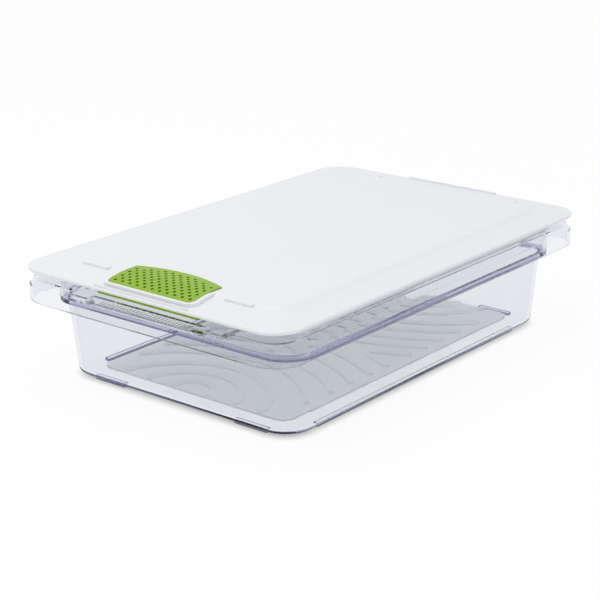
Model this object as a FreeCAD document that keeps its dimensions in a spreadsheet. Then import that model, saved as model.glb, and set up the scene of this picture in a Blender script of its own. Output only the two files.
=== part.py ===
# Produce storage container: a clear tub with end grips and feet, a white lid with a perforated
# green vent, and a rippled tray on the floor of the tub.
# Millimetres, +Z up, long side along X, the vent at -X, origin at the bottom centre.
import FreeCAD, Part
import math
import os
import Sketcher

SIZES = {
    # Lid outline, and the rim of the tub that is a little smaller
    "box_length": 457.2,
    "box_width": 304.8,
    "corner_radius": 28.0,
    "lid_overhang": 0.4,
    # Heights above the surface that the tub stands on
    "foot_height": 2.8,
    "step_height": 72.5,
    "skirt_bottom": 77.1,
    "skirt_top": 91.6,
    "ledge_height": 97.5,
    "lid_bottom": 104.9,
    # Tub
    "wall": 2.8,
    "end_flange": 26.2,
    "side_flange": 11.0,
    "bevel_inset": 4.5,
    "step_width": 4.6,
    "wall_draft": 4.4,
    "upper_corner": 28.0,
    "lower_corner": 28.0,
    "bottom_round": 6.0,
    "floor_round": 3.2,
    # Feet: two short ones under each end and one long one under each side
    "foot_width": 5.0,
    "foot_inset": 6.5,
    "end_foot_start": 65.0,
    "end_foot_length": 35.5,
    "side_foot_length": 300.0,
    # Finger recess in the ledge at each end, and the ribbed scoop at its outer edge
    "recess_width": 177.0,
    "recess_depth": 21.0,
    "recess_drop": 2.8,
    "recess_corner": 12.0,
    "scoop_width": 108.0,
    "scoop_depth": 10.9,
    "scoop_flare": 10.9,
    "scoop_floor": 0.3,
    "scoop_rib_inset": 1.2,
    "scoop_rib_pitch": 4.1,
    "scoop_rib_width": 1.3,
    "scoop_rib_height": 0.6,
    # Lid
    "lid_edge": 3.2,
    "lid_edge_round": 1.3,
    "lid_wall": 3.0,
    "lid_seat_gap": 0.3,
    "lid_plug_gap": 0.4,
    "lid_plug_depth": 3.0,
    "lid_rib": 2.2,
    "shoulder_inset": 2.5,
    "shoulder_rise": 4.9,
    "panel_end_inset": 36.6,
    "panel_side_inset": 30.4,
    "panel_rise": 1.6,
    "panel_slope": 6.0,
    "panel_corner": 16.0,
    "panel_round": 1.0,
    "stacking_pad_gap": 9.0,
    "stacking_pad_length": 30.0,
    "stacking_pad_width": 6.0,
    "lip_width": 108.0,
    "lip_depth": 3.6,
    "lip_rise": 1.5,
    # Vent cover, its raised frame in the lid, and the box and filter under it
    "vent_inset": 10.6,
    "vent_length": 38.0,
    "vent_bulge": 9.5,
    "vent_half_width": 49.0,
    "vent_corner": 6.0,
    "vent_front_rise": 3.3,
    "vent_back_rise": 0.8,
    "vent_middle_drop": 1.6,
    "vent_slope_length": 26.0,
    "vent_plate": 2.0,
    "vent_gap": 0.3,
    "vent_frame_border": 4.5,
    "vent_seat": 2.2,
    "vent_window_inset": 4.0,
    "filter_thickness": 0.6,
    "vent_floor_border": 3.0,
    "vent_box_width": 115.0,
    "vent_box_overlap": 2.0,
    "vent_box_clearance": 1.7,
    "vent_box_wall": 1.8,
    "vent_box_slot": 5.5,
    "vent_box_slot_pitch": 8.0,
    # Perforations: staggered rows across the vent
    "hole_diameter": 2.9,
    "hole_pitch": 8.6,
    "hole_row_pitch": 4.32,
    "hole_first_row": 5.6,
    # Tray: its clearances to the floor of the tub, and its ripples measured from its own edges
    "tray_end_clearance": 19.2,
    "tray_side_clearance": 20.7,
    "tray_corner": 12.0,
    "tray_thickness": 1.6,
    "tray_gap": 0.3,
    "ripple_width": 7.0,
    "ripple_height": 2.2,
    "ripple_round": 1.8,
    "ripple_gap": 1.5,
    "end_ripple_inset": 4.0,
    "end_ripple_first": 22.0,
    "end_ripple_pitch": 21.0,
    "end_ripple_span": 21.5,
    "end_ripple_span_pitch": 28.5,
    "side_ripple_inset": 11.5,
    "side_ripple_centre": 29.0,
    "side_ripple_radius": 120.2,
    "side_ripple_pitch": 21.7,
    # How far a cut starts outside the piece, and how deep a join reaches into it
    "overrun": 1.0,
    "join": 0.5,
}

# Holes in each row of the vent, from the front edge of the lid inwards
HOLES_PER_ROW = (11, 10, 11, 10, 11, 10, 11, 8, 5)
SCOOP_RIB_COUNT = 26
BOX_SLOT_COUNT = 13
# Ripples that start and end on the tray's end line, in each half; the others end on the side lines
END_RIPPLES = 3
# How near an edge's height must be to the height it is looked for at
HEIGHT_TOLERANCE = 0.01


class Size:
    """A length: its number, and the spreadsheet expression that drives it."""

    def __init__(self, number, text):
        self.number = number
        self.text = text

    def join(self, other, sign, number):
        text = other.text if isinstance(other, Size) else repr(float(other))
        return Size(number, "({} {} {})".format(self.text, sign, text))

    def __add__(self, other):
        return self.join(other, "+", self.number + value(other))

    def __sub__(self, other):
        return self.join(other, "-", self.number - value(other))

    def __mul__(self, factor):
        return self.join(factor, "*", self.number * value(factor))

    def __truediv__(self, factor):
        return self.join(factor, "/", self.number / value(factor))

    def __neg__(self):
        return Size(-self.number, "(0 - {})".format(self.text))


def value(length):
    return length.number if isinstance(length, Size) else length


document = FreeCAD.newDocument("ProduceContainer")
sheet = document.addObject("Spreadsheet::Sheet", "Sizes")
for row, (alias, number) in enumerate(SIZES.items(), start=1):
    sheet.set("A{}".format(row), alias)
    sheet.set("B{}".format(row), str(number))
    sheet.setAlias("B{}".format(row), alias)
document.recompute()


def size(alias):
    return Size(float(sheet.get(alias)), "Sizes." + alias)


# Sketches and features

def new_body(name):
    body = document.addObject("PartDesign::Body", name)
    body.Label = name
    return body


def origin_feature(body, role):
    return [f for f in body.Origin.OriginFeatures if f.Role == role][0]


def new_sketch(body, name, role="XY_Plane", offset=None):
    sketch = body.newObject("Sketcher::SketchObject", name)
    sketch.AttachmentSupport = [(origin_feature(body, role), "")]
    sketch.MapMode = "FlatFace"
    if offset is not None:
        sketch.AttachmentOffset = FreeCAD.Placement(
            FreeCAD.Vector(0, 0, offset.number), FreeCAD.Rotation())
        sketch.setExpression("AttachmentOffset.Base.z", offset.text)
    return sketch


def drive(sketch, constraint, length):
    index = sketch.addConstraint(constraint)
    if isinstance(length, Size):
        sketch.setExpression("Constraints[{}]".format(index), length.text)


def fix_point(sketch, geometry, point, x, y):
    """Tie a point of the sketch to the origin along both axes."""
    drive(sketch, Sketcher.Constraint("DistanceX", -1, 1, geometry, point, value(x)), x)
    drive(sketch, Sketcher.Constraint("DistanceY", -1, 1, geometry, point, value(y)), y)


def polygon(sketch, points):
    """Closed outline of straight lines; every corner is driven by its two distances."""
    first = sketch.GeometryCount
    count = len(points)
    places = [FreeCAD.Vector(value(x), value(y), 0) for x, y in points]
    for i in range(count):
        sketch.addGeometry(Part.LineSegment(places[i], places[(i + 1) % count]), False)
    for i in range(count):
        following = first + (i + 1) % count
        sketch.addConstraint(Sketcher.Constraint("Coincident", first + i, 2, following, 1))
    for i, (x, y) in enumerate(points):
        fix_point(sketch, first + i, 1, x, y)


def rectangle(sketch, x_low, x_high, y_low, y_high):
    polygon(sketch, [(x_low, y_low), (x_high, y_low), (x_high, y_high), (x_low, y_high)])


def rounded_rectangle(sketch, half_x, half_y, radius):
    """Closed outline centred on the origin: four lines joined by four tangent arcs."""
    first = sketch.GeometryCount
    x, y, r = half_x.number, half_y.number, radius.number
    ends = [((-x + r, -y), (x - r, -y)), ((x, -y + r), (x, y - r)),
            ((x - r, y), (-x + r, y)), ((-x, y - r), (-x, -y + r))]
    for (x1, y1), (x2, y2) in ends:
        line = Part.LineSegment(FreeCAD.Vector(x1, y1, 0), FreeCAD.Vector(x2, y2, 0))
        sketch.addGeometry(line, False)
    centres = [(x - r, -y + r, 270), (x - r, y - r, 0), (-x + r, y - r, 90), (-x + r, -y + r, 180)]
    for cx, cy, start in centres:
        circle = Part.Circle(FreeCAD.Vector(cx, cy, 0), FreeCAD.Vector(0, 0, 1), r)
        arc = Part.ArcOfCircle(circle, math.radians(start), math.radians(start + 90))
        sketch.addGeometry(arc, False)
    for i in range(4):
        line, arc, following = first + i, first + 4 + i, first + (i + 1) % 4
        sketch.addConstraint(Sketcher.Constraint("Tangent", line, 2, arc, 1))
        sketch.addConstraint(Sketcher.Constraint("Tangent", arc, 2, following, 1))
        sketch.addConstraint(Sketcher.Constraint("Horizontal" if i % 2 == 0 else "Vertical", line))
    for i in range(3):
        sketch.addConstraint(Sketcher.Constraint("Equal", first + 4 + i, first + 5 + i))
    drive(sketch, Sketcher.Constraint("Radius", first + 4, r), radius)
    drive(sketch, Sketcher.Constraint("DistanceY", first, 1, -1, 1, y), half_y)
    drive(sketch, Sketcher.Constraint("DistanceX", -1, 1, first + 1, 1, x), half_x)
    drive(sketch, Sketcher.Constraint("DistanceY", -1, 1, first + 2, 1, y), half_y)
    drive(sketch, Sketcher.Constraint("DistanceX", first + 3, 1, -1, 1, x), half_x)


def outline(body, name, half_x, half_y, radius, height):
    sketch = new_sketch(body, name, offset=height)
    rounded_rectangle(sketch, half_x, half_y, radius)
    return sketch


def extrude(body, kind, sketch, name, length, up=True, middle=False):
    """A pad or pocket of the sketch; up runs along the sketch's own normal."""
    feature = body.newObject("PartDesign::" + kind, name)
    feature.Profile = sketch
    feature.Type = 0
    feature.Length = value(length)
    if isinstance(length, Size):
        feature.setExpression("Length", length.text)
    if middle:
        feature.Midplane = True
    else:
        feature.Reversed = (not up) if kind == "Pad" else up
    document.recompute()
    return feature


def pad(body, sketch, name, length, up=True, middle=False):
    return extrude(body, "Pad", sketch, name, length, up, middle)


def pocket(body, sketch, name, length, up=True, middle=False):
    before = body.Shape.Volume
    feature = extrude(body, "Pocket", sketch, name, length, up, middle)
    if not body.Shape.Volume < before:
        raise RuntimeError(name + " cuts nothing")
    return feature


def loft(body, kind, name, lower, upper):
    feature = body.newObject("PartDesign::{}Loft".format(kind), name)
    feature.Profile = lower
    feature.Sections = [upper]
    document.recompute()
    return feature


def fillet(body, name, radius, chosen):
    """Round the edges of the body so far for which chosen(edge) holds."""
    base = body.Tip
    names = ["Edge{}".format(i) for i, edge in enumerate(base.Shape.Edges, start=1) if chosen(edge)]
    if not names:
        raise RuntimeError(name + " finds no edge")
    feature = body.newObject("PartDesign::Fillet", name)
    feature.Base = (base, names)
    feature.Radius = radius.number
    feature.setExpression("Radius", radius.text)
    document.recompute()
    return feature


def repeat(body, feature, name, count, pitch):
    """Repeat a feature along +Y."""
    pattern = body.newObject("PartDesign::LinearPattern", name)
    pattern.Originals = [feature]
    pattern.Direction = (origin_feature(body, "Y_Axis"), [""])
    pattern.Length = value(pitch) * (count - 1)
    pattern.setExpression("Length", "{} * {}".format(pitch.text, count - 1))
    pattern.Occurrences = count
    body.Tip = pattern
    document.recompute()
    return pattern


def edge_between(edge, low, high):
    box = edge.BoundBox
    return box.ZMin >= low - HEIGHT_TOLERANCE and box.ZMax <= high + HEIGHT_TOLERANCE


# Shared places: the walls, the opening and the rim of the tub

rim_x = size("box_length") / 2 - size("lid_overhang")
rim_y = size("box_width") / 2 - size("lid_overhang")
rim_corner = size("corner_radius") - size("lid_overhang")
upper_x = rim_x - size("end_flange")
upper_y = rim_y - size("side_flange")
opening_x = upper_x - size("wall")
opening_y = upper_y - size("wall")
opening_corner = size("upper_corner") - size("wall")
lower_x = upper_x - size("step_width")
lower_y = upper_y - size("step_width")
bottom_x = lower_x - size("wall_draft")
bottom_y = lower_y - size("wall_draft")
floor_top = size("foot_height") + size("wall")
tray_x = bottom_x - size("wall") - size("tray_end_clearance")
tray_y = bottom_y - size("wall") - size("tray_side_clearance")
lid_top_edge = size("lid_bottom") + size("lid_edge")
panel_base = lid_top_edge + size("shoulder_rise")
panel_top = panel_base + size("panel_rise")
vent_front_top = lid_top_edge + size("vent_front_rise")
vent_back_top = panel_top + size("vent_back_rise")


def build_tub():
    body = new_body("tub")
    wall = size("wall")
    add_rim(body, wall)
    add_walls(body)
    add_feet(body)
    hollow_tub(body, wall)
    add_end_grips(body, wall)
    return body


def add_rim(body, wall):
    """Skirt, bevel and flat ledge, hollow from below."""
    inset = size("bevel_inset")
    bevel_corner = rim_corner - inset
    skirt = outline(body, "skirt_outline", rim_x, rim_y, rim_corner, size("skirt_bottom"))
    pad(body, skirt, "skirt", size("skirt_top") - size("skirt_bottom"))
    low = outline(body, "bevel_low", rim_x, rim_y, rim_corner, size("skirt_top"))
    high = outline(body, "bevel_high", rim_x - inset, rim_y - inset, bevel_corner,
                   size("ledge_height"))
    loft(body, "Additive", "bevel", low, high)
    # The hollow follows the bevel one wall below it
    bend = size("skirt_top") - wall / 2
    low = outline(body, "hollow_outline", rim_x - wall, rim_y - wall, rim_corner - wall,
                  size("skirt_bottom"))
    pocket(body, low, "skirt_hollow", bend - size("skirt_bottom"))
    low = outline(body, "hollow_low", rim_x - wall, rim_y - wall, rim_corner - wall, bend)
    high = outline(body, "hollow_high", rim_x - wall - inset, rim_y - wall - inset,
                   bevel_corner - wall, size("ledge_height") - wall)
    loft(body, "Subtractive", "bevel_hollow", low, high)


def add_walls(body):
    """Upper wall, and the drafted lower wall below the outward step; solid for now."""
    upper = outline(body, "upper_outline", upper_x, upper_y, size("upper_corner"),
                    size("step_height"))
    pad(body, upper, "upper_wall", size("ledge_height") - size("step_height"))
    low = outline(body, "bottom_outline", bottom_x, bottom_y, size("lower_corner"),
                  size("foot_height"))
    high = outline(body, "lower_outline", lower_x, lower_y, size("lower_corner"),
                   size("step_height"))
    loft(body, "Additive", "lower_wall", low, high)
    bottom = size("foot_height").number
    fillet(body, "bottom_rounding", size("bottom_round"),
           lambda edge: edge_between(edge, bottom, bottom))


def add_feet(body):
    sketch = new_sketch(body, "feet_outline")
    width = size("foot_width")
    end_out = bottom_x - size("foot_inset")
    side_out = bottom_y - size("foot_inset")
    start = size("end_foot_start")
    stop = start + size("end_foot_length")
    half = size("side_foot_length") / 2
    for low, high in ((-end_out, -end_out + width), (end_out - width, end_out)):
        rectangle(sketch, low, high, start, stop)
        rectangle(sketch, low, high, -stop, -start)
    for low, high in ((-side_out, -side_out + width), (side_out - width, side_out)):
        rectangle(sketch, -half, half, low, high)
    pad(body, sketch, "feet", size("foot_height") + size("bottom_round"))


def hollow_tub(body, wall):
    inner_corner = size("lower_corner") - wall
    step_top = size("step_height") + wall
    low = outline(body, "floor_outline", bottom_x - wall, bottom_y - wall, inner_corner, floor_top)
    high = outline(body, "inner_step_outline", lower_x - wall, lower_y - wall, inner_corner,
                   step_top)
    loft(body, "Subtractive", "lower_hollow", low, high)
    opening = outline(body, "opening_outline", opening_x, opening_y, opening_corner, step_top)
    pocket(body, opening, "opening", size("ledge_height") - step_top)
    level = floor_top.number
    reach = bottom_x.number
    fillet(body, "floor_rounding", size("floor_round"),
           lambda edge: edge_between(edge, level, level) and edge.BoundBox.XMax < reach)


def add_end_grips(body, wall):
    """At each end a finger recess in the ledge, with a ribbed scoop at its outer edge."""
    crease = size("skirt_top")
    ledge = size("ledge_height")
    recess_floor = ledge - size("recess_drop")
    scoop_floor = crease + size("scoop_floor")
    scoop_back = rim_x - size("scoop_depth")
    skirt_middle = rim_x - wall / 2
    bevel_top = rim_x - size("bevel_inset")
    scoop_reach = size("scoop_width") + size("scoop_flare") * 2
    # The wall under the recess and the scoop keeps its thickness
    lining = new_sketch(body, "recess_lining_outline", "XZ_Plane")
    scoop_lining = new_sketch(body, "scoop_lining_outline", "XZ_Plane")
    for side in (-1, 1):
        polygon(lining, [
            (upper_x * side, recess_floor - wall),
            (skirt_middle * side, recess_floor - wall),
            ((bevel_top - wall / 2) * side, recess_floor + wall / 2),
            (upper_x * side, recess_floor + wall / 2)])
        polygon(scoop_lining, [
            ((scoop_back - wall) * side, scoop_floor - wall),
            (skirt_middle * side, scoop_floor - wall),
            (skirt_middle * side, crease),
            (bevel_top * side, recess_floor),
            ((scoop_back - wall) * side, recess_floor)])
    pad(body, lining, "recess_lining", size("recess_width") + wall * 2, middle=True)
    pad(body, scoop_lining, "scoop_lining", scoop_reach + wall * 2, middle=True)
    outside = rim_x + size("overrun")
    recess_back = rim_x - size("recess_depth")
    half = size("recess_width") / 2
    recess = new_sketch(body, "recess_outline", offset=recess_floor)
    scoop = new_sketch(body, "scoop_outline", offset=scoop_floor)
    near = size("scoop_width") / 2
    deep = scoop_reach / 2
    for side in (-1, 1):
        polygon(recess, [(recess_back * side, -half), (outside * side, -half),
                         (outside * side, half), (recess_back * side, half)])
        polygon(scoop, [(scoop_back * side, -deep), (rim_x * side, -near),
                        (outside * side, -near), (outside * side, near),
                        (rim_x * side, near), (scoop_back * side, deep)])
    pocket(body, recess, "recess", size("recess_drop") + size("overrun"))
    low, high, back = recess_floor.number, ledge.number, recess_back.number
    fillet(body, "recess_rounding", size("recess_corner"),
           lambda edge: edge_between(edge, low, high) and edge.BoundBox.ZLength > 1
           and abs(abs(edge.BoundBox.Center.x) - back) < HEIGHT_TOLERANCE)
    pocket(body, scoop, "scoop", ledge - scoop_floor)
    add_scoop_ribs(body, scoop_floor, scoop_back)


def add_scoop_ribs(body, scoop_floor, scoop_back):
    """Low ribs along X on the floor of each scoop, repeated along Y."""
    sketch = new_sketch(body, "scoop_rib_outline", offset=scoop_floor - size("join"))
    middle = -(size("scoop_rib_pitch") * ((SCOOP_RIB_COUNT - 1) / 2))
    half = size("scoop_rib_width") / 2
    front = rim_x - size("scoop_rib_inset")
    back = scoop_back - size("join")
    rectangle(sketch, -front, -back, middle - half, middle + half)
    rectangle(sketch, back, front, middle - half, middle + half)
    rib = pad(body, sketch, "scoop_rib", size("scoop_rib_height") + size("join"))
    repeat(body, rib, "scoop_ribs", SCOOP_RIB_COUNT, size("scoop_rib_pitch"))


# Vent: one outline, used with different insets by the lid, the cover, the filter and the window

vent_front = size("vent_inset") - size("box_length") / 2
vent_back = vent_front + size("vent_length")
no_length = Size(0.0, "0")


def vent_arc(inset):
    """Centre and radius of the curved back edge, from its chord and bulge."""
    half = size("vent_half_width")
    bulge = size("vent_bulge")
    radius = (half * half + bulge * bulge) / (bulge * 2)
    return vent_back + bulge - radius, radius - inset


def vent_outline(sketch, inset):
    """Straight front edge with round corners, straight sides and a curved back edge."""
    front = vent_front + inset
    half = size("vent_half_width") - inset
    corner = size("vent_corner") - inset
    centre, radius = vent_arc(inset)
    angle = math.asin(half.number / radius.number)
    back = centre.number + radius.number * math.cos(angle)

    def at(x, y):
        return FreeCAD.Vector(x, y, 0)

    def arc(middle, r, start, stop):
        return Part.ArcOfCircle(Part.Circle(middle, FreeCAD.Vector(0, 0, 1), r), start, stop)

    x, y, r = front.number, half.number, corner.number
    edges = [
        Part.LineSegment(at(x, y - r), at(x, r - y)),
        arc(at(x + r, r - y), r, math.pi, 1.5 * math.pi),
        Part.LineSegment(at(x + r, -y), at(back, -y)),
        arc(at(centre.number, 0), radius.number, -angle, angle),
        Part.LineSegment(at(back, y), at(x + r, y)),
        arc(at(x + r, y - r), r, 0.5 * math.pi, math.pi)]
    first = sketch.GeometryCount
    for edge in edges:
        sketch.addGeometry(edge, False)
    line, low_corner, low_side, curve, high_side, high_corner = range(first, first + 6)
    sketch.addConstraint([
        Sketcher.Constraint("Tangent", line, 2, low_corner, 1),
        Sketcher.Constraint("Tangent", low_corner, 2, low_side, 1),
        Sketcher.Constraint("Coincident", low_side, 2, curve, 1),
        Sketcher.Constraint("Coincident", curve, 2, high_side, 1),
        Sketcher.Constraint("Tangent", high_side, 2, high_corner, 1),
        Sketcher.Constraint("Tangent", high_corner, 2, line, 1),
        Sketcher.Constraint("Vertical", line),
        Sketcher.Constraint("Horizontal", low_side),
        Sketcher.Constraint("Horizontal", high_side),
        Sketcher.Constraint("Equal", low_corner, high_corner),
        Sketcher.Constraint("PointOnObject", curve, 3, -1)])
    drive(sketch, Sketcher.Constraint("DistanceX", -1, 1, line, 1, x), front)
    drive(sketch, Sketcher.Constraint("DistanceY", -1, 1, high_side, 1, y), half)
    drive(sketch, Sketcher.Constraint("DistanceY", low_side, 1, -1, 1, y), half)
    drive(sketch, Sketcher.Constraint("Radius", low_corner, r), corner)
    drive(sketch, Sketcher.Constraint("Radius", curve, radius.number), radius)
    drive(sketch, Sketcher.Constraint("DistanceX", -1, 1, curve, 3, centre.number), centre)


def vent_surface(drop):
    """Corners of the vent's side view: a slope that eases off, then level to the back."""
    slope = size("vent_slope_length")
    level = vent_back_top - drop
    return [(vent_front, vent_front_top - drop),
            (vent_front + slope / 2, level - size("vent_middle_drop")),
            (vent_front + slope, level)]


def cut_above(body, name, border, width):
    """Remove everything over the vent's surface, out to a border round the vent."""
    (x1, z1), (x2, z2), (x3, z3) = vent_surface(no_length)
    ceiling = vent_back_top + size("overrun") * 3
    front = x1 - border - size("overrun")
    back = x3 + size("vent_length") + border
    sketch = new_sketch(body, name + "_outline", "XZ_Plane")
    polygon(sketch, [(front, z1), (x1, z1), (x2, z2), (x3, z3), (back, z3), (back, ceiling),
                     (front, ceiling)])
    return pocket(body, sketch, name, width + size("overrun") * 2, middle=True)


def build_lid():
    body = new_body("lid")
    half_x = size("box_length") / 2
    half_y = size("box_width") / 2
    corner = size("corner_radius")
    edge = outline(body, "lid_outline", half_x, half_y, corner, size("lid_bottom"))
    pad(body, edge, "lid_edge_plate", size("lid_edge"))
    low, high = size("lid_bottom").number, lid_top_edge.number
    fillet(body, "lid_edge_rounding", size("lid_edge_round"),
           lambda edge: edge_between(edge, low, low) or edge_between(edge, high, high))
    panel_x = half_x - size("panel_end_inset")
    panel_y = half_y - size("panel_side_inset")
    add_lid_top(body, half_x, half_y, corner, panel_x, panel_y)
    hollow_lid(body, half_x, half_y, corner, panel_x, panel_y)
    add_lid_ribs(body)
    add_vent_frame(body)
    add_lips(body, half_x)
    return body


def add_lid_top(body, half_x, half_y, corner, panel_x, panel_y):
    """Sloping shoulder, flat panel and the four stacking pads at its ends."""
    inset = size("shoulder_inset")
    join = size("join")
    low = outline(body, "shoulder_low", half_x - inset, half_y - inset, corner - inset,
                  lid_top_edge - join)
    high = outline(body, "shoulder_high", panel_x, panel_y, size("panel_corner"), panel_base)
    loft(body, "Additive", "shoulder", low, high)
    slope = size("panel_slope")
    low = outline(body, "panel_low", panel_x + slope, panel_y + slope,
                  size("panel_corner") + slope, panel_base - size("panel_rise"))
    high = outline(body, "panel_high", panel_x, panel_y, size("panel_corner"), panel_top)
    loft(body, "Additive", "panel", low, high)
    sketch = new_sketch(body, "stacking_pads_outline", offset=lid_top_edge)
    stop = panel_y - size("panel_corner") - size("stacking_pad_gap")
    start = stop - size("stacking_pad_length")
    out = panel_x + size("stacking_pad_width")
    for low, high in ((-out, join - panel_x), (panel_x - join, out)):
        rectangle(sketch, low, high, start, stop)
        rectangle(sketch, low, high, -stop, -start)
    pad(body, sketch, "stacking_pads", panel_top - lid_top_edge)
    level = panel_top.number
    fillet(body, "panel_rounding", size("panel_round"),
           lambda edge: edge_between(edge, level, level))


def hollow_lid(body, half_x, half_y, corner, panel_x, panel_y):
    """Hollow the lid from below, one lid wall under its top."""
    wall = size("lid_wall")
    inset = size("shoulder_inset") + wall
    roof = panel_base - wall
    join = size("join")
    low = outline(body, "lid_hollow_low", half_x - inset, half_y - inset, corner - inset,
                  size("lid_bottom"))
    high = outline(body, "lid_hollow_high", panel_x - join, panel_y - join,
                   size("panel_corner") - join, roof)
    loft(body, "Subtractive", "lid_hollow", low, high)
    sketch = outline(body, "panel_hollow_outline", panel_x - wall, panel_y - wall,
                     size("panel_corner") - wall, roof - join)
    pocket(body, sketch, "panel_hollow", size("panel_rise") + join)


def ring(body, name, outer, inner, bottom, height):
    sketch = new_sketch(body, name + "_outline", offset=bottom)
    rounded_rectangle(sketch, *outer)
    rounded_rectangle(sketch, *inner)
    return pad(body, sketch, name, height)


def shoulder_height(half_y):
    """Height of the lid's sloping side shoulder at this distance from the long centre line."""
    run = size("panel_side_inset") - size("shoulder_inset")
    rise = size("shoulder_rise") + size("join")
    distance = size("box_width") / 2 - size("shoulder_inset") - half_y
    return lid_top_edge - size("join") + distance * rise / run


def add_lid_ribs(body):
    """Two ribs under the lid: one stands on the ledge, one drops into the opening."""
    rib = size("lid_rib")
    seat_y = upper_y + rib
    seat_bottom = size("ledge_height") + size("lid_seat_gap")
    seat_top = shoulder_height(seat_y) - size("join")
    ring(body, "seat_rib", (upper_x + rib, seat_y, size("upper_corner") + rib),
         (upper_x, upper_y, size("upper_corner")), seat_bottom, seat_top - seat_bottom)
    gap = size("lid_plug_gap")
    plug_y = opening_y - gap
    plug_bottom = size("ledge_height") - size("lid_plug_depth")
    plug_top = shoulder_height(plug_y) - size("join")
    ring(body, "plug_rib", (opening_x - gap, plug_y, opening_corner - gap),
         (opening_x - gap - rib, plug_y - rib, opening_corner - gap - rib),
         plug_bottom, plug_top - plug_bottom)


def vent_box_ends():
    """Front and back of the box under the vent."""
    reach = size("vent_box_overlap")
    return vent_front - reach, vent_back + size("vent_bulge") + reach


def add_vent_frame(body):
    """Raised frame round the vent, with the seat of the cover and the window below it."""
    border = size("vent_frame_border")
    overrun = size("overrun")
    front, back = vent_box_ends()
    half = size("vent_box_width") / 2
    floor_border = size("vent_floor_border")
    block = new_sketch(body, "vent_floor_outline", offset=size("lid_bottom"))
    rectangle(block, front - floor_border, back + floor_border, -(half + floor_border),
              half + floor_border)
    pad(body, block, "vent_floor", size("lid_wall"))
    frame_bottom = lid_top_edge - size("join")
    frame = new_sketch(body, "vent_frame_outline", offset=frame_bottom)
    vent_outline(frame, -border)
    pad(body, frame, "vent_frame", panel_top - frame_bottom)
    cut_above(body, "vent_frame_top", border, (size("vent_half_width") + border) * 2)
    gap = size("vent_gap")
    rib_gap = new_sketch(body, "rib_gap_outline", offset=size("lid_bottom"))
    rectangle(rib_gap, front - gap, back + gap, -(half + gap), half + gap)
    depth = size("lid_bottom") - size("ledge_height") + size("lid_plug_depth") + overrun
    pocket(body, rib_gap, "rib_gap", depth, up=False)
    seat = new_sketch(body, "vent_seat_outline", offset=size("lid_bottom") + size("vent_seat"))
    vent_outline(seat, -gap)
    pocket(body, seat, "vent_seat", vent_back_top - size("lid_bottom") + overrun)
    window = new_sketch(body, "vent_window_outline", offset=size("lid_bottom") - overrun)
    vent_outline(window, size("vent_window_inset"))
    pocket(body, window, "vent_window", size("vent_seat") + overrun * 2)


def add_lips(body, half_x):
    """Thicker lifting lips along the middle of both ends."""
    join = size("join")
    sketch = new_sketch(body, "lip_outline", offset=lid_top_edge - join)
    half = size("lip_width") / 2
    taper = size("lip_depth")
    inner = half_x - size("lip_depth")
    outer = half_x - size("lid_edge_round")
    for side in (-1, 1):
        polygon(sketch, [(outer * side, -half), (inner * side, taper - half),
                         (inner * side, half - taper), (outer * side, half)])
    pad(body, sketch, "lips", size("lip_rise") + join)


def build_vent_cover():
    """Curved perforated plate with a rim wall that stands on the lid's seat."""
    body = new_body("vent_cover")
    seat = size("lid_bottom") + size("vent_seat")
    bottom = seat + size("vent_gap")
    sketch = new_sketch(body, "cover_outline", offset=bottom)
    vent_outline(sketch, no_length)
    pad(body, sketch, "cover_block", vent_back_top - seat + size("overrun"))
    cut_above(body, "cover_top", no_length, size("vent_half_width") * 2)
    hollow_cover(body, bottom)
    perforate(body, bottom)
    return body


def hollow_cover(body, bottom):
    """Hollow under the plate, which keeps its thickness along the slope."""
    wall = size("vent_box_wall")
    plate = size("vent_plate")
    sketch = new_sketch(body, "cover_hollow_outline", offset=bottom)
    vent_outline(sketch, wall)
    pocket(body, sketch, "cover_hollow", vent_front_top - plate - bottom)
    (x1, z1), (x2, z2), (x3, z3) = vent_surface(plate)
    roof = new_sketch(body, "cover_roof_outline", "XZ_Plane")
    start = x1 + wall
    end = vent_back - wall
    under = z1 - size("join")
    polygon(roof, [(start, under), (start, z1), (x2, z2), (x3, z3), (end, z3), (end, under)])
    pocket(body, roof, "cover_roof", (size("vent_half_width") - wall) * 2, middle=True)


def perforate(body, bottom):
    """Rows of holes across the vent, every other row shifted by half a pitch."""
    sketch = new_sketch(body, "hole_outline", offset=bottom)
    radius = size("hole_diameter") / 2
    for index, count in enumerate(HOLES_PER_ROW):
        x = vent_front + size("hole_first_row") + size("hole_row_pitch") * index
        for number in range(count):
            y = size("hole_pitch") * (number - (count - 1) / 2)
            centre = FreeCAD.Vector(x.number, y.number, 0)
            hole = sketch.addGeometry(Part.Circle(centre, FreeCAD.Vector(0, 0, 1), radius.number))
            fix_point(sketch, hole, 3, x, y)
            drive(sketch, Sketcher.Constraint("Radius", hole, radius.number), radius)
    pocket(body, sketch, "holes", vent_back_top - bottom + size("overrun"))


def build_vent_filter():
    """Thin sheet inside the cover's rim wall, just over the lid's seat."""
    body = new_body("vent_filter")
    bottom = size("lid_bottom") + size("vent_seat") + size("vent_gap")
    sketch = new_sketch(body, "filter_outline", offset=bottom)
    vent_outline(sketch, size("vent_box_wall") + size("vent_gap"))
    pad(body, sketch, "filter_sheet", size("filter_thickness"))
    return body


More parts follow.
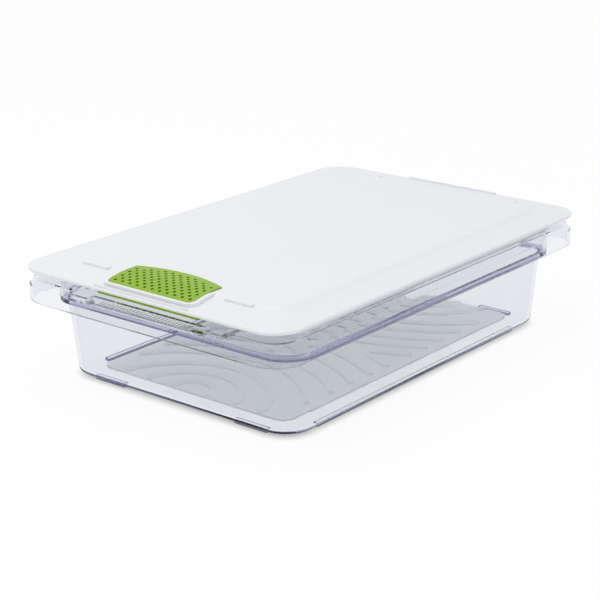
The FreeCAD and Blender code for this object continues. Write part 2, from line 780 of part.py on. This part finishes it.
def build_vent_base():
    """Open box under the lid: solid floor outside the tub, slotted floor inside it."""
    body = new_body("vent_base")
    front, back = vent_box_ends()
    half = size("vent_box_width") / 2
    wall = size("vent_box_wall")
    bottom = size("ledge_height") + size("vent_box_clearance")
    height = size("lid_bottom") - bottom
    sketch = new_sketch(body, "box_outline", offset=bottom)
    rectangle(sketch, front, back, -half, half)
    pad(body, sketch, "box", height)
    inside = new_sketch(body, "box_hollow_outline", offset=bottom + wall)
    rectangle(inside, front + wall, back - wall, -(half - wall), half - wall)
    pocket(body, inside, "box_hollow", height)
    slot = new_sketch(body, "slot_outline", offset=bottom - size("overrun"))
    first = -(size("vent_box_slot_pitch") * ((BOX_SLOT_COUNT - 1) / 2))
    reach = size("vent_box_slot") / 2
    rectangle(slot, wall - opening_x, back - wall * 2, first - reach, first + reach)
    cut = pocket(body, slot, "slot", wall + size("overrun") * 2)
    repeat(body, cut, "slots", BOX_SLOT_COUNT, size("vent_box_slot_pitch"))
    return body


def ripple_arc(index):
    """Centre, radius and end angle of a ripple's middle line, in the vent's half of the tray."""
    if index < END_RIPPLES:
        span = (size("end_ripple_span") + size("end_ripple_span_pitch") * index).number
        top = (tray_x - size("end_ripple_first") - size("end_ripple_pitch") * index).number
        rise = (tray_x - size("end_ripple_inset")).number - top
        radius = (span * span + rise * rise) / (2 * rise)
        centre = -top - radius
    else:
        span = (tray_y - size("side_ripple_inset")).number
        step = size("side_ripple_pitch") * (index - END_RIPPLES)
        radius = (size("side_ripple_radius") + step).number
        centre = -(tray_x + size("side_ripple_centre")).number
    return centre, radius, math.asin(span / radius)


def curved_bar(sketch, centre, radius, start, stop, width):
    """Closed curved bar with round ends, along an arc about a point of the long centre line."""
    axis = FreeCAD.Vector(0, 0, 1)

    def on_arc(r, angle):
        return FreeCAD.Vector(centre + r * math.cos(angle), r * math.sin(angle), 0)

    inner, outer = radius - width / 2, radius + width / 2
    middle = FreeCAD.Vector(centre, 0, 0)
    first = sketch.GeometryCount
    sketch.addGeometry([
        Part.ArcOfCircle(Part.Circle(middle, axis, outer), start, stop),
        Part.ArcOfCircle(Part.Circle(on_arc(radius, stop), axis, width / 2), stop, stop + math.pi),
        Part.ArcOfCircle(Part.Circle(middle, axis, inner), start, stop),
        Part.ArcOfCircle(Part.Circle(on_arc(radius, start), axis, width / 2),
                         start + math.pi, start + 2 * math.pi)], False)
    sketch.addConstraint([
        Sketcher.Constraint("Coincident", first, 2, first + 1, 1),
        Sketcher.Constraint("Coincident", first + 1, 2, first + 2, 2),
        Sketcher.Constraint("Coincident", first + 2, 1, first + 3, 1),
        Sketcher.Constraint("Coincident", first + 3, 2, first, 1)])


def side_ripple_count(limit):
    """As many side ripples as have their ends a ripple's width short of the tray's middle."""
    span = (tray_y - size("side_ripple_inset")).number
    reach = limit - size("ripple_width").number + (tray_x + size("side_ripple_centre")).number
    spare = math.hypot(span, reach) - size("side_ripple_radius").number
    return 1 + math.floor(spare / size("side_ripple_pitch").number)


def add_ripples(sketch):
    """The ripples of the vent's half of the tray, each with its mirror image in the other half."""
    width = size("ripple_width").number
    limit = -(size("ripple_width") + size("ripple_gap")).number / 2
    for index in range(END_RIPPLES + side_ripple_count(limit)):
        centre, radius, angle = ripple_arc(index)
        stretches = [(-angle, angle)]
        if centre + radius > limit:
            # It would cross the middle of the tray, so it stops short of it on both sides
            stop = math.acos((limit - centre) / radius)
            stretches = [(-angle, -stop), (stop, angle)]
        for first, last in stretches:
            curved_bar(sketch, centre, radius, first, last, width)
            curved_bar(sketch, -centre, radius, math.pi - last, math.pi - first, width)


def build_crisp_tray():
    """Thin sheet on the floor of the tub, with raised ripples on its top."""
    body = new_body("crisp_tray")
    bottom = floor_top + size("tray_gap")
    top = bottom + size("tray_thickness")
    sheet_outline = outline(body, "tray_outline", tray_x, tray_y, size("tray_corner"), bottom)
    pad(body, sheet_outline, "tray_sheet", size("tray_thickness"))
    sketch = new_sketch(body, "ripple_outline", offset=top)
    add_ripples(sketch)
    pad(body, sketch, "ripples", size("ripple_height"))
    level = (top + size("ripple_height")).number
    fillet(body, "ripple_rounding", size("ripple_round"),
           lambda edge: edge_between(edge, level, level))
    return body


parts = [build_tub(), build_lid(), build_vent_cover(), build_vent_filter(), build_vent_base(),
         build_crisp_tray()]
document.recompute()

for item in document.Objects:
    if "Invalid" in item.State or "Error" in item.State:
        raise RuntimeError("{} failed: {}".format(item.Name, item.State))
os.makedirs("parts", exist_ok=True)
for body in parts:
    shape = body.Shape
    if shape.isNull() or not shape.isValid() or len(shape.Solids) != 1:
        raise RuntimeError(body.Label + " is not one valid solid")
    shape.exportStep("parts/{}.step".format(body.Label))
    box = shape.BoundBox
    print("{:12} volume {:10.0f}  x {:7.1f} {:7.1f}  y {:7.1f} {:7.1f}  z {:6.1f} {:6.1f}".format(
        body.Label, shape.Volume, box.XMin, box.XMax, box.YMin, box.YMax, box.ZMin, box.ZMax))
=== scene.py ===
import math

import bmesh
import bpy
from mathutils import Matrix, Vector


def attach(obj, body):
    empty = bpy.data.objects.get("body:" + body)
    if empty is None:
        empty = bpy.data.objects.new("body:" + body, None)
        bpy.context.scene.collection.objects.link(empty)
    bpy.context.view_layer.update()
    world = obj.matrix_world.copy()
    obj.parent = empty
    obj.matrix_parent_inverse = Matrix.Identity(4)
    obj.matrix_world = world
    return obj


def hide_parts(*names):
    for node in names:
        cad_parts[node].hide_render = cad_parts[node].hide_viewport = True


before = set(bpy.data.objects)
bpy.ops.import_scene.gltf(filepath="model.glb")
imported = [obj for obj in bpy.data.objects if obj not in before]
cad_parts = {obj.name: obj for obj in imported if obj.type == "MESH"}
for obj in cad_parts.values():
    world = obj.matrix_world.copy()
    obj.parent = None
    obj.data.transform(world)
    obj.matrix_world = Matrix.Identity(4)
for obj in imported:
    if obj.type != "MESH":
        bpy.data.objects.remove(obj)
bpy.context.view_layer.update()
scene = bpy.context.scene


# Node helpers

def new_tree(material):
    material.use_nodes = True
    tree = material.node_tree
    tree.nodes.clear()
    return tree


def add(tree, kind, **inputs):
    """New shader node; inputs are set by socket name, with _ for a space."""
    node = tree.nodes.new(kind)
    for name, value in inputs.items():
        node.inputs[name.replace("_", " ")].default_value = value
    return node


def link(tree, source, target):
    tree.links.new(source, target)


def principled(tree, **inputs):
    node = tree.nodes.new("ShaderNodeBsdfPrincipled")
    for name, value in inputs.items():
        node.inputs[name.replace("_", " ")].default_value = value
    return node


def object_noise(tree, scale, detail=3.0, roughness=0.5):
    coordinates = tree.nodes.new("ShaderNodeTexCoord")
    noise = add(tree, "ShaderNodeTexNoise", Scale=scale, Detail=detail, Roughness=roughness)
    link(tree, coordinates.outputs["Object"], noise.inputs["Vector"])
    return noise


def map_range(tree, source, low, high):
    node = add(tree, "ShaderNodeMapRange", From_Min=0.0, From_Max=1.0, To_Min=low, To_Max=high)
    link(tree, source, node.inputs["Value"])
    return node.outputs["Result"]


def bump(tree, height, strength, distance, normal=None):
    node = add(tree, "ShaderNodeBump", Strength=strength, Distance=distance)
    link(tree, height, node.inputs["Height"])
    if normal is not None:
        link(tree, normal, node.inputs["Normal"])
    return node.outputs["Normal"]


def edge_normal(tree, radius):
    """Shading normal that rounds the sharp edges."""
    node = tree.nodes.new("ShaderNodeBevel")
    node.samples = 6
    node.inputs["Radius"].default_value = radius
    return node.outputs["Normal"]


def arithmetic(tree, operation, first, second):
    node = tree.nodes.new("ShaderNodeMath")
    node.operation = operation
    for socket, value in zip(node.inputs, (first, second)):
        if isinstance(value, (int, float)):
            socket.default_value = value
        else:
            link(tree, value, socket)
    return node.outputs[0]


# Materials

def white_plastic():
    material = bpy.data.materials.new("white_plastic")
    tree = new_tree(material)
    out = tree.nodes.new("ShaderNodeOutputMaterial")
    shader = principled(tree, Base_Color=(0.80, 0.81, 0.82, 1), Roughness=0.42, IOR=1.49)
    grain = object_noise(tree, 2600.0, 2.0)
    soft = object_noise(tree, 22.0, 3.0)
    link(tree, map_range(tree, soft.outputs["Fac"], 0.36, 0.50), shader.inputs["Roughness"])
    rounded = edge_normal(tree, 0.0007)
    link(tree, bump(tree, grain.outputs["Fac"], 0.10, 0.0002, rounded), shader.inputs["Normal"])
    link(tree, shader.outputs["BSDF"], out.inputs["Surface"])
    return material


LEAF_GREEN = (0.25, 0.43, 0.010)


def vent_surface_height(tree, x):
    """Height of the vent cover's top, from its slope, its easier slope and its level part."""
    corners = ((-0.218, 0.1114), (-0.205, 0.1138), (-0.192, 0.1154))
    lowest = None
    for (x1, z1), (x2, z2) in zip(corners, corners[1:]):
        node = add(tree, "ShaderNodeMapRange", From_Min=x1, From_Max=x2, To_Min=z1, To_Max=z2)
        node.clamp = False
        link(tree, x, node.inputs["Value"])
        lowest = arithmetic(tree, "MINIMUM", node.outputs["Result"],
                            corners[-1][1] if lowest is None else lowest)
    return lowest


def green_plastic(name, painted_hole_shade=False):
    """Green moulding; when asked for, painted shade darkens the inside of its perforations."""
    material = bpy.data.materials.new(name)
    tree = new_tree(material)
    out = tree.nodes.new("ShaderNodeOutputMaterial")
    shader = principled(tree, Base_Color=(*LEAF_GREEN, 1), Roughness=0.38, IOR=1.49)
    shader.inputs["Specular IOR Level"].default_value = 0.25
    grain = object_noise(tree, 2200.0, 2.0)
    link(tree, map_range(tree, grain.outputs["Fac"], 0.32, 0.46), shader.inputs["Roughness"])
    if painted_hole_shade:
        coordinates = tree.nodes.new("ShaderNodeTexCoord")
        split = tree.nodes.new("ShaderNodeSeparateXYZ")
        link(tree, coordinates.outputs["Object"], split.inputs["Vector"])
        depth = arithmetic(tree, "SUBTRACT", vent_surface_height(tree, split.outputs["X"]),
                           split.outputs["Z"])
        # Painted shade: the hole walls turn dark with depth below the cover's top.
        shade = add(tree, "ShaderNodeMapRange", From_Min=0.0002, From_Max=0.0007, To_Min=0.0,
                    To_Max=1.0)
        link(tree, depth, shade.inputs["Value"])
        colour = blend_colour(tree, shade.outputs["Result"], LEAF_GREEN, (0.012, 0.022, 0.006))
        link(tree, colour, shader.inputs["Base Color"])
    rounded = edge_normal(tree, 0.0004)
    link(tree, bump(tree, grain.outputs["Fac"], 0.10, 0.0002, rounded), shader.inputs["Normal"])
    link(tree, shader.outputs["BSDF"], out.inputs["Surface"])
    return material


def filter_sheet():
    material = bpy.data.materials.new("filter_sheet")
    tree = new_tree(material)
    out = tree.nodes.new("ShaderNodeOutputMaterial")
    shader = principled(tree, Roughness=0.9)
    weave = object_noise(tree, 900.0, 2.0)
    ramp = tree.nodes.new("ShaderNodeValToRGB")
    ramp.color_ramp.elements[0].color = (0.012, 0.02, 0.008, 1)
    ramp.color_ramp.elements[1].color = (0.03, 0.045, 0.018, 1)
    link(tree, weave.outputs["Fac"], ramp.inputs["Fac"])
    link(tree, ramp.outputs["Color"], shader.inputs["Base Color"])
    link(tree, bump(tree, weave.outputs["Fac"], 0.5, 0.0005), shader.inputs["Normal"])
    link(tree, shader.outputs["BSDF"], out.inputs["Surface"])
    return material


def blend_colour(tree, factor, first, second):
    """Mix of two colours, each a plain colour or a node's output."""
    node = tree.nodes.new("ShaderNodeMix")
    node.data_type = "RGBA"
    link(tree, factor, node.inputs[0])
    for socket, value in ((node.inputs[6], first), (node.inputs[7], second)):
        if isinstance(value, tuple):
            socket.default_value = (*value, 1)
        else:
            link(tree, value, socket)
    return node.outputs[2]


def height_band(tree, height, low, high, soft):
    """1 between two heights, fading to 0 over a soft margin outside them."""
    total = None
    for start, stop in ((low - soft, low), (high + soft, high)):
        node = add(tree, "ShaderNodeMapRange", From_Min=start, From_Max=stop, To_Min=0.0, To_Max=1.0)
        link(tree, height, node.inputs["Value"])
        total = arithmetic(tree, "MULTIPLY", node.outputs["Result"], 1 if total is None else total)
    return total


def face_shares(tree):
    """How much of a band's colour a face takes, from 0 to 1, for upright and for all faces."""
    geometry = tree.nodes.new("ShaderNodeNewGeometry")
    normal = tree.nodes.new("ShaderNodeSeparateXYZ")
    link(tree, geometry.outputs["True Normal"], normal.inputs["Vector"])
    level = arithmetic(tree, "ABSOLUTE", normal.outputs["Z"], 0.0)
    return {"upright": arithmetic(tree, "SUBTRACT", 1.0, level), "every": 1.0}


# Painted shade for faces seen at a grazing angle, standing in for the dark refraction at the plastic's
# edges.
GRAZING_PAINTED_SHADE = (0.44, 0.46, 0.56)


def clear_plastic(name, tint, absorb, density, roughness, wave, painted_shade_bands=()):
    """Clear moulding: refracts and absorbs; light from the lamps passes straight through.

    Each band in the list gives heights where painted shade darkens its upright faces, or every face,
    standing in for the dark internal reflections of the thick plastic there: low, high, soft, faces,
    colour.
    """
    material = bpy.data.materials.new(name)
    tree = new_tree(material)
    out = tree.nodes.new("ShaderNodeOutputMaterial")
    shader = principled(tree, Base_Color=(*tint, 1), Roughness=roughness, IOR=1.17,
                        Transmission_Weight=1.0)
    # Painted shade: faces seen at a grazing angle darken towards a violet grey, drawing the dark edge
    # lines.
    grazing = add(tree, "ShaderNodeLayerWeight", Blend=0.5)
    slant = arithmetic(tree, "POWER", grazing.outputs["Facing"], 4.0)
    colour = blend_colour(tree, arithmetic(tree, "MULTIPLY", slant, 0.40), tint, GRAZING_PAINTED_SHADE)
    coordinates = tree.nodes.new("ShaderNodeTexCoord")
    split = tree.nodes.new("ShaderNodeSeparateXYZ")
    link(tree, coordinates.outputs["Object"], split.inputs["Vector"])
    shares = face_shares(tree) if painted_shade_bands else {}
    # Painted shade: each band darkens the colour towards its dark violet.
    for low, high, soft, faces, dark in painted_shade_bands:
        band = height_band(tree, split.outputs["Z"], low, high, soft)
        colour = blend_colour(tree, arithmetic(tree, "MULTIPLY", band, shares[faces]), colour, dark)
    link(tree, colour, shader.inputs["Base Color"])
    flow = object_noise(tree, 14.0, 2.0)
    link(tree, map_range(tree, flow.outputs["Fac"], roughness * 0.6, roughness * 1.4),
         shader.inputs["Roughness"])
    rounded = edge_normal(tree, 0.0006)
    link(tree, bump(tree, flow.outputs["Fac"], wave, 0.001, rounded), shader.inputs["Normal"])
    path = tree.nodes.new("ShaderNodeLightPath")
    clear = add(tree, "ShaderNodeBsdfTransparent", Color=(0.90, 0.90, 0.93, 1))
    mix = tree.nodes.new("ShaderNodeMixShader")
    link(tree, path.outputs["Is Shadow Ray"], mix.inputs["Fac"])
    link(tree, shader.outputs["BSDF"], mix.inputs[1])
    link(tree, clear.outputs["BSDF"], mix.inputs[2])
    link(tree, mix.outputs["Shader"], out.inputs["Surface"])
    volume = add(tree, "ShaderNodeVolumeAbsorption", Color=(*absorb, 1), Density=density)
    link(tree, volume.outputs["Volume"], out.inputs["Volume"])
    return material


def frosted_tray():
    """Tray sheet: slightly milky plastic that lets most of the light through."""
    material = bpy.data.materials.new("clear_tray")
    tree = new_tree(material)
    out = tree.nodes.new("ShaderNodeOutputMaterial")
    shader = principled(tree, Base_Color=(0.83, 0.845, 0.86, 1), Roughness=0.28, IOR=1.06,
                        Transmission_Weight=0.94)
    flow = object_noise(tree, 30.0, 3.0)
    link(tree, map_range(tree, flow.outputs["Fac"], 0.24, 0.36), shader.inputs["Roughness"])
    rounded = edge_normal(tree, 0.0012)
    link(tree, bump(tree, flow.outputs["Fac"], 0.05, 0.001, rounded), shader.inputs["Normal"])
    path = tree.nodes.new("ShaderNodeLightPath")
    clear = add(tree, "ShaderNodeBsdfTransparent", Color=(0.90, 0.92, 0.95, 1))
    mix = tree.nodes.new("ShaderNodeMixShader")
    link(tree, path.outputs["Is Shadow Ray"], mix.inputs["Fac"])
    link(tree, shader.outputs["BSDF"], mix.inputs[1])
    link(tree, clear.outputs["BSDF"], mix.inputs[2])
    link(tree, mix.outputs["Shader"], out.inputs["Surface"])
    return material


# Heights of the tub's feet and of its step, painted dark violet as shade for the thick plastic's
# internal reflections and, at the feet, contact shade, in metres
TUB_PAINTED_SHADE_BANDS = (
    (-0.001, 0.0026, 0.0002, "upright", (0.19, 0.16, 0.37)),
    (0.0722, 0.0752, 0.0003, "every", (0.46, 0.43, 0.62)),
)

MATERIALS = {
    "lid": white_plastic(),
    "vent_cover": green_plastic("vent_green", painted_hole_shade=True),
    "vent_base": green_plastic("vent_box_green"),
    "vent_filter": filter_sheet(),
    "tub": clear_plastic("clear_plastic", (0.905, 0.916, 0.935), (0.50, 0.54, 0.70), 10.0, 0.01, 0.01,
                         TUB_PAINTED_SHADE_BANDS),
    "crisp_tray": frosted_tray(),
}


# Mouldings: the CAD shapes with their rounded faces shaded smoothly

def smooth_moulding(node, body):
    """Copy of a CAD piece whose triangles are joined, so that its curves shade as curves."""
    shape = bmesh.new()
    shape.from_mesh(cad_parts[node].data)
    bmesh.ops.remove_doubles(shape, verts=shape.verts, dist=0.00001)
    crease = math.radians(26)
    for face in shape.faces:
        face.smooth = True
        face.material_index = 0
    for edge in shape.edges:
        edge.smooth = len(edge.link_faces) == 2 and edge.calc_face_angle() < crease
    for layer in list(shape.loops.layers.uv.values()):
        shape.loops.layers.uv.remove(layer)
    mesh = bpy.data.meshes.new(node + "_moulding")
    shape.to_mesh(mesh)
    shape.free()
    for attribute in [a.name for a in mesh.attributes if a.name == "custom_normal"]:
        mesh.attributes.remove(mesh.attributes[attribute])
    mesh.materials.clear()
    mesh.materials.append(MATERIALS[node])
    piece = bpy.data.objects.new(node + "_moulding", mesh)
    scene.collection.objects.link(piece)
    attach(piece, body)
    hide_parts(node)


smooth_moulding("tub", "tub")
smooth_moulding("lid", "lid")
smooth_moulding("vent_cover", "vent_cover")
smooth_moulding("crisp_tray", "crisp_tray")
for name in ("vent_base", "vent_filter"):
    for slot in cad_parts[name].material_slots:
        slot.material = MATERIALS[name]


# Floor and background

def seen_rays(tree):
    """1 for the rays that see the background directly, in a reflection or through clear plastic."""
    path = tree.nodes.new("ShaderNodeLightPath")
    total = path.outputs["Is Camera Ray"]
    for name in ("Is Glossy Ray", "Is Transmission Ray"):
        node = tree.nodes.new("ShaderNodeMath")
        node.operation = "MAXIMUM"
        link(tree, total, node.inputs[0])
        link(tree, path.outputs[name], node.inputs[1])
        total = node.outputs[0]
    return total


def build_world():
    world = bpy.data.worlds.new("studio")
    scene.world = world
    world.use_nodes = True
    tree = world.node_tree
    tree.nodes.clear()
    out = tree.nodes.new("ShaderNodeOutputWorld")
    light = add(tree, "ShaderNodeBackground", Color=(0.94, 0.96, 1.0, 1), Strength=0.60)
    white = add(tree, "ShaderNodeBackground", Color=(1, 1, 1, 1), Strength=1.0)
    mix = tree.nodes.new("ShaderNodeMixShader")
    link(tree, seen_rays(tree), mix.inputs["Fac"])
    link(tree, light.outputs["Background"], mix.inputs[1])
    link(tree, white.outputs["Background"], mix.inputs[2])
    link(tree, mix.outputs["Shader"], out.inputs["Surface"])


def build_floor():
    mesh = bpy.data.meshes.new("floor")
    reach = 6.0
    mesh.from_pydata([(-reach, -reach, 0), (reach, -reach, 0), (reach, reach, 0), (-reach, reach, 0)],
                     [], [(0, 1, 2, 3)])
    floor = bpy.data.objects.new("floor", mesh)
    scene.collection.objects.link(floor)
    material = bpy.data.materials.new("floor")
    tree = new_tree(material)
    out = tree.nodes.new("ShaderNodeOutputMaterial")
    shader = principled(tree, Base_Color=(0.96, 0.96, 0.97, 1), Roughness=0.9)
    shader.inputs["Specular IOR Level"].default_value = 0.0
    # Painted contact shadow: ambient occlusion dims the white the floor shows close to the tub, except
    # for rays through the plastic.
    near = add(tree, "ShaderNodeAmbientOcclusion", Distance=0.007)
    near.samples = 8
    painted_contact_shadow = tree.nodes.new("ShaderNodeMath")
    painted_contact_shadow.operation = "POWER"
    painted_contact_shadow.inputs[1].default_value = 0.32
    link(tree, near.outputs["AO"], painted_contact_shadow.inputs[0])
    through = tree.nodes.new("ShaderNodeLightPath").outputs["Is Transmission Ray"]
    strength = tree.nodes.new("ShaderNodeMath")
    strength.operation = "MAXIMUM"
    link(tree, painted_contact_shadow.outputs[0], strength.inputs[0])
    link(tree, through, strength.inputs[1])
    white = add(tree, "ShaderNodeEmission", Color=(1, 1, 1, 1))
    link(tree, strength.outputs[0], white.inputs["Strength"])
    share = arithmetic(tree, "MULTIPLY", seen_rays(tree), map_range(tree, through, 0.93, 0.95))
    mix = tree.nodes.new("ShaderNodeMixShader")
    link(tree, share, mix.inputs["Fac"])
    link(tree, shader.outputs["BSDF"], mix.inputs[1])
    link(tree, white.outputs["Emission"], mix.inputs[2])
    link(tree, mix.outputs["Shader"], out.inputs["Surface"])
    mesh.materials.append(material)


def area_lamp(name, place, target, size, power, color=(1, 1, 1)):
    data = bpy.data.lights.new(name, "AREA")
    data.shape = "RECTANGLE"
    data.size, data.size_y = size
    data.energy = power
    data.color = color
    lamp = bpy.data.objects.new(name, data)
    lamp.location = place
    lamp.rotation_euler = (Vector(target) - Vector(place)).to_track_quat("-Z", "Y").to_euler()
    scene.collection.objects.link(lamp)


def build_camera():
    yaw, pitch, roll = (math.radians(a) for a in (-50.55, 18.75, -0.57))
    back = Vector((math.sin(yaw) * math.cos(pitch), -math.cos(yaw) * math.cos(pitch), math.sin(pitch)))
    right = Vector((math.cos(yaw), math.sin(yaw), 0))
    up = back.cross(right)
    across = right * math.cos(roll) + up * math.sin(roll)
    upright = up * math.cos(roll) - right * math.sin(roll)
    data = bpy.data.cameras.new("camera")
    data.sensor_width = 36.0
    data.lens = 100.44
    data.clip_end = 50.0
    camera = bpy.data.objects.new("camera", data)
    place = Matrix((across, upright, back)).transposed().to_4x4()
    place.translation = (-1.1554, -0.9352, 0.5503)
    camera.matrix_world = place
    scene.collection.objects.link(camera)
    scene.camera = camera


build_world()
build_floor()
area_lamp("key", (-0.6, 0.5, 2.2), (0, 0, 0.05), (2.2, 2.2), 27.0)
area_lamp("fill", (0.2, -2.4, 0.9), (0, 0, 0.08), (2.4, 1.4), 9.0)
area_lamp("front", (-2.2, -0.4, 0.9), (0, 0, 0.08), (1.6, 1.2), 2.0)
build_camera()

scene.view_settings.view_transform = "Standard"
scene.cycles.use_denoising = True
scene.cycles.max_bounces = 32
scene.cycles.transmission_bounces = 28
scene.cycles.glossy_bounces = 28
scene.cycles.transparent_max_bounces = 24
scene.cycles.caustics_reflective = False
scene.cycles.caustics_refractive = True
